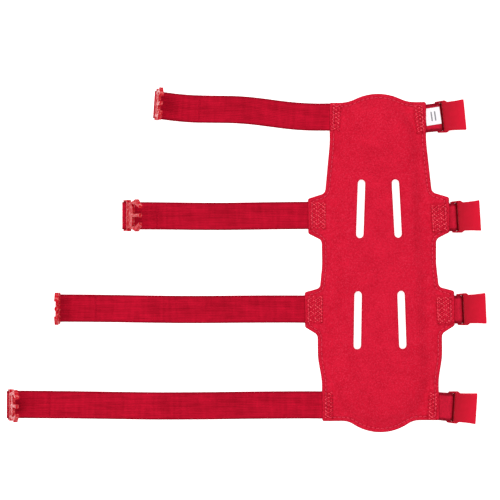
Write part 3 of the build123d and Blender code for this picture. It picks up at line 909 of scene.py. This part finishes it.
def build_label():
    """The blank satin care label, sewn in with the wrist loop and lying over it."""
    reach = rim_reach("wrist", "loop")
    centre = Vector(JOINTS["wrist_receiver_swivel"]["pos_m"]).z / MM
    top = centre + BAR_RADIUS + WEB + 0.22
    line = []
    for x in np.linspace(-reach - 0.4, 1.6, 24):
        rise = float(smooth((x + reach) / (reach - 0.4)))
        line.append((x, LOOP_TOP + 0.5 + (top - LOOP_TOP - 0.5) * rise + 0.12 * math.sin(x * 0.9)))
    across = np.linspace(-6.2, 6.2, 21)
    half = np.full(21, 0.11)
    place = anchor_frame("wrist", "loop") @ Matrix.Rotation(math.radians(2.4), 4, "Z")
    place = place @ Matrix.Translation((0, 1.1, 0))
    label = ribbon("wrist_care_label", line, across, half, place, finish_of("satin"))
    declare(label, "satin", "wrist_loop", "care_label")


# ---- buckles --------------------------------------------------------------------------------------
def clip_frame(anchor):
    """Where a male clip lies: its bar at the origin, along Y, and the clip along +X, in metres."""
    place = anchor_frame(anchor, "strap")
    bar = Vector(JOINTS[f"{anchor}_clip_swivel"]["pos_m"])
    place.translation = bar
    local = [place.inverted() @ v.co for v in frame["nodes"][f"{anchor}_clip"].data.vertices]
    far = [p for p in local if math.hypot(p.x, p.z) > 19.5 * MM]
    way = Vector((sum(p.x for p in far), 0, sum(p.z for p in far)))
    return place @ Matrix.Rotation(math.atan2(way.z, -way.x), 4, "Y") @ Matrix.Rotation(math.pi, 4, "Z")


def receiver_frame(anchor):
    """Where a receiver lies: its bar at the origin, along Y, and the receiver along +X, in metres."""
    place = anchor_frame(anchor, "loop")
    place.translation = Vector(JOINTS[f"{anchor}_receiver_swivel"]["pos_m"])
    return place


def add_prism(mesh, outline, low, high):
    """Adds a closed prism to a bmesh: an outline in the plane, in mm, between two heights."""
    base = [mesh.verts.new(Vector((x, y, low)) * MM) for x, y in outline]
    lid = [mesh.verts.new(Vector((x, y, high)) * MM) for x, y in outline]
    mesh.faces.new(base[::-1])
    mesh.faces.new(lid)
    for i in range(len(base)):
        n = (i + 1) % len(base)
        mesh.faces.new((base[i], base[n], lid[n], lid[i]))


def moulding(node, place, details):
    """A copy of a CAD node's shape, brought to its own frame, with moulded details added to it."""
    mesh = bmesh.new()
    mesh.from_mesh(frame["nodes"][node].data)
    bmesh.ops.remove_doubles(mesh, verts=mesh.verts, dist=1e-6)
    mesh.transform(place.inverted())
    for outline, low, high in details:
        add_prism(mesh, outline, low, high)
    rough = bpy.data.meshes.new(node)
    mesh.to_mesh(rough)
    mesh.free()
    return rough


def ribs_of_clip():
    """A clip's moulded details, as outlines in mm: a ridge down the prong, and a plate and a rib by each arm."""
    plate = [(5.4, 7.6), (10.2, 7.6), (11.2, 6.4), (11.2, 2.4), (10.2, 1.2), (5.4, 1.2)]
    details = [([(6.0, -0.55), (18.6, -0.4), (18.6, 0.4), (6.0, 0.55)], -1.45, 1.45)]
    for sign in (1, -1):
        details.append(([(x, sign * y) for x, y in plate], -1.05, 1.05))
        # a rib along each arm's outer side
        details.append(([(6.0, sign * 8.6), (14.5, sign * 10.6), (14.5, sign * 9.4), (6.0, sign * 7.6)], -1.75, 1.75))
    return details


def place_mouldings(kind, skin, place_of, slot):
    """The four copies of one moulding, each at its own bar and riding on its own body."""
    skin.materials.clear()
    skin.materials.append(finish_of(slot))
    for anchor in ANCHORS:
        copy = placed(f"{anchor}_{kind}_moulding", skin)
        copy.matrix_world = place_of(anchor)
        declare(copy, slot, f"{anchor}_{kind}", f"{anchor}_{kind}")


def build_clips(settings):
    rough = moulding("forearm_clip", clip_frame("forearm"), ribs_of_clip())
    skin = solidified("male_clip", rough, settings.voxel / MM * 0.9, settings.rounding - 1, KEPT_FACES)
    place_mouldings("clip", skin, clip_frame, "clip_plastic")


def build_receivers(settings):
    rough = moulding("forearm_receiver", receiver_frame("forearm"), [])
    skin = solidified("receiver", rough, settings.voxel / MM, settings.rounding, KEPT_FACES)
    for vert in skin.vertices:
        # the body is thinner towards its bar and slightly crowned across
        x, y = vert.co.x / MM, vert.co.y / MM
        vert.co.z *= 0.86 + 0.14 * float(smooth((x - 3.0) / 8.0)) - 0.02 * (y / 11) ** 2
        # both faces have a shallow panel between their two rails
        if abs(vert.co.z) > 2.3 * MM:
            panel = float(smooth((9.0 - abs(y)) / 0.9) * smooth((x - 4.4) / 0.9) * smooth((18.0 - x) / 5.0))
            vert.co.z -= math.copysign(0.3 * panel * MM, vert.co.z)
    place_mouldings("receiver", skin, receiver_frame, "buckle_plastic")


# ---- the stage ------------------------------------------------------------------------------------
def build_stage(settings):
    scene = bpy.context.scene
    scene.view_settings.view_transform = "Standard"
    span = 12.0
    sheet = bpy.data.meshes.new("floor")
    corners = [(-span, -span), (span, -span), (span, span), (-span, span)]
    sheet.from_pydata([(x, y, -0.05 * MM) for x, y in corners], [], [(0, 1, 2, 3)])
    sheet.materials.append(backdrop_paper())
    floor = placed("floor", sheet)
    world = bpy.data.worlds.new("studio")
    world.use_nodes = True
    shade = world.node_tree.nodes["Background"]
    shade.inputs[0].default_value = (1, 1, 1, 1)
    shade.inputs[1].default_value = 0.30
    scene.world = world
    aim = Vector((*settings.aim, 0))
    # four wide softboxes, the one on the upper left a little stronger
    for i, (turn, gain) in enumerate(((135, 1.5), (45, 1.0), (315, 0.8), (225, 1.0))):
        lamp = bpy.data.lights.new(f"softbox_{i}", "AREA")
        lamp.shape = "RECTANGLE"
        lamp.size, lamp.size_y = 0.9, 0.9
        lamp.energy = settings.key * gain
        box = placed(lamp.name, lamp)
        angle = math.radians(turn)
        box.location = aim + Vector((0.85 * math.cos(angle), 0.85 * math.sin(angle), 0.95))
        box.rotation_euler = (aim - box.location).to_track_quat("-Z", "Y").to_euler()
    lens = bpy.data.cameras.new("camera")
    lens.lens = settings.lens
    lens.sensor_width = 36.0
    lens.clip_end = 50.0
    camera = placed("camera", lens)
    camera.location = aim + Vector((0, 0, settings.distance))
    camera.rotation_euler = (0, 0, settings.roll)
    scene.camera = camera


# ---- operators and panel --------------------------------------------------------------------------
class ARMGUARD_OT_pad(bpy.types.Operator):
    """Build the padded lining over its foam, and the woven outer face"""
    bl_idname = "armguard.pad"
    bl_label = "Pad"

    def execute(self, context):
        build_pad(context.scene.armguard_pad)
        return {"FINISHED"}


class ARMGUARD_OT_stitching(bpy.types.Operator):
    """Sew the lock-stitch round the rim and the zigzags over the sewn-in ends"""
    bl_idname = "armguard.stitching"
    bl_label = "Stitching"

    def execute(self, context):
        build_rim_stitching(context.scene.armguard_pad)
        build_tacks(context.scene.armguard_pad)
        return {"FINISHED"}


class ARMGUARD_OT_straps(bpy.types.Operator):
    """Build the four elastics, folded round their clips' bars and bartacked"""
    bl_idname = "armguard.straps"
    bl_label = "Elastic straps"

    def execute(self, context):
        build_straps(context.scene.armguard_straps)
        return {"FINISHED"}


class ARMGUARD_OT_loops(bpy.types.Operator):
    """Build the four web loops that hold the receivers"""
    bl_idname = "armguard.loops"
    bl_label = "Web loops"

    def execute(self, context):
        build_loops(context.scene.armguard_straps)
        return {"FINISHED"}


class ARMGUARD_OT_label(bpy.types.Operator):
    """Build the satin label on the wrist loop"""
    bl_idname = "armguard.label"
    bl_label = "Label"

    def execute(self, context):
        build_label()
        return {"FINISHED"}


class ARMGUARD_OT_clips(bpy.types.Operator):
    """Mould the four male clips"""
    bl_idname = "armguard.clips"
    bl_label = "Clips"

    def execute(self, context):
        build_clips(context.scene.armguard_buckles)
        return {"FINISHED"}


class ARMGUARD_OT_receivers(bpy.types.Operator):
    """Mould the four female receivers"""
    bl_idname = "armguard.receivers"
    bl_label = "Receivers"

    def execute(self, context):
        build_receivers(context.scene.armguard_buckles)
        return {"FINISHED"}


class ARMGUARD_OT_stage(bpy.types.Operator):
    """Lay the white paper, and set up the softboxes and the camera overhead"""
    bl_idname = "armguard.stage"
    bl_label = "Stage"

    def execute(self, context):
        build_stage(context.scene.armguard_stage)
        return {"FINISHED"}


STEPS = (ARMGUARD_OT_stage, ARMGUARD_OT_pad, ARMGUARD_OT_stitching, ARMGUARD_OT_receivers, ARMGUARD_OT_loops,
         ARMGUARD_OT_label, ARMGUARD_OT_straps, ARMGUARD_OT_clips)
SETTINGS = {"armguard_pad": PadSettings, "armguard_straps": StrapSettings, "armguard_buckles": BuckleSettings,
            "armguard_stage": StageSettings}


class ARMGUARD_PT_panel(bpy.types.Panel):
    """The arm guard's sizes and the steps that build it"""
    bl_idname = "ARMGUARD_PT_panel"
    bl_label = "Arm guard"
    bl_space_type = "VIEW_3D"
    bl_region_type = "UI"
    bl_category = "Arm guard"

    def draw(self, context):
        for name, group in SETTINGS.items():
            box = self.layout.box()
            for size in group.__annotations__:
                box.prop(getattr(context.scene, name), size)
        for step in STEPS:
            self.layout.operator(step.bl_idname)


def register():
    for group in SETTINGS.values():
        bpy.utils.register_class(group)
    for step in (*STEPS, ARMGUARD_PT_panel):
        bpy.utils.register_class(step)
    for name, group in SETTINGS.items():
        setattr(bpy.types.Scene, name, PointerProperty(type=group))


def unregister():
    for name in SETTINGS:
        delattr(bpy.types.Scene, name)
    for step in (ARMGUARD_PT_panel, *reversed(STEPS)):
        bpy.utils.unregister_class(step)
    for group in SETTINGS.values():
        bpy.utils.unregister_class(group)


def main():
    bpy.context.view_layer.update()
    register()
    bpy.ops.armguard.stage()
    bpy.ops.armguard.pad()
    bpy.ops.armguard.stitching()
    bpy.ops.armguard.receivers()
    bpy.ops.armguard.loops()
    bpy.ops.armguard.label()
    bpy.ops.armguard.straps()
    bpy.ops.armguard.clips()


if __name__ == "__main__":
    main()
